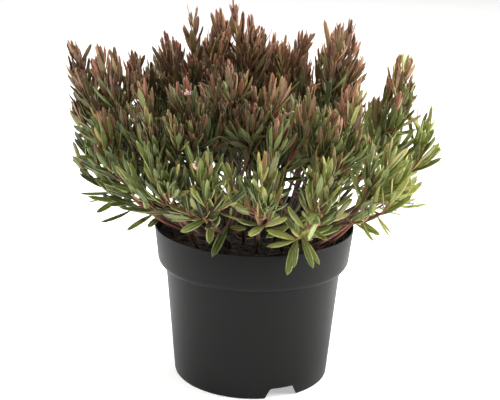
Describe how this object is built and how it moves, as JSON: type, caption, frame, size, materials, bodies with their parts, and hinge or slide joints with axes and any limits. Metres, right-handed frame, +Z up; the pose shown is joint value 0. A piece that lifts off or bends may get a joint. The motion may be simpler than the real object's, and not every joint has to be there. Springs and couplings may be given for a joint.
{
  "type": "potted bog rosemary",
  "caption": "Dwarf evergreen shrub with slender upright leafy stems, green below and bronze above, in a round nursery pot of peat.",
  "frame": {"origin": "on the surface that the pot stands on, at the pot's axis", "axes": "+Z up along the pot's axis and the shrub's height, -Y towards the side that faces the viewer, +X to the viewer's right"},
  "size_m": [0.3057, 0.2681, 0.322],
  "materials": {
    "pot_plastic": "satin",
    "peat": "matte",
    "leafy_green": "satin",
    "leafy_bronze": "satin"
  },
  "bodies": {
    "root": {"pot": "pot_plastic", "peat": "peat", "leafy_stem_01": "leafy_bronze", "leafy_stem_02": "leafy_bronze", "leafy_stem_03": "leafy_bronze", "leafy_stem_04": "leafy_bronze", "leafy_stem_05": "leafy_bronze", "leafy_stem_06": "leafy_bronze", "leafy_stem_07": "leafy_bronze", "leafy_stem_08": "leafy_bronze", "leafy_stem_09": "leafy_bronze", "leafy_stem_10": "leafy_bronze", "leafy_stem_11": "leafy_bronze", "leafy_stem_12": "leafy_bronze", "leafy_stem_13": "leafy_green", "leafy_stem_14": "leafy_bronze", "leafy_stem_15": "leafy_green", "leafy_stem_16": "leafy_bronze", "leafy_stem_17": "leafy_bronze", "leafy_stem_18": "leafy_bronze", "leafy_stem_19": "leafy_bronze", "leafy_stem_20": "leafy_bronze", "leafy_stem_21": "leafy_bronze", "leafy_stem_22": "leafy_green", "leafy_stem_23": "leafy_green", "leafy_stem_24": "leafy_green", "leafy_stem_25": "leafy_green", "leafy_stem_26": "leafy_green", "leafy_stem_27": "leafy_green", "leafy_stem_28": "leafy_green", "leafy_stem_29": "leafy_green", "leafy_stem_30": "leafy_green", "leafy_stem_31": "leafy_green", "leafy_stem_32": "leafy_green", "leafy_stem_33": "leafy_green", "leafy_stem_34": "leafy_green", "leafy_stem_35": "leafy_bronze", "leafy_stem_36": "leafy_green", "leafy_stem_37": "leafy_bronze", "leafy_stem_38": "leafy_green", "leafy_stem_39": "leafy_bronze", "leafy_stem_40": "leafy_bronze", "leafy_stem_41": "leafy_bronze", "leafy_stem_42": "leafy_bronze", "leafy_stem_43": "leafy_bronze", "leafy_stem_44": "leafy_green", "leafy_stem_45": "leafy_bronze"}
  },
  "joints": []
}
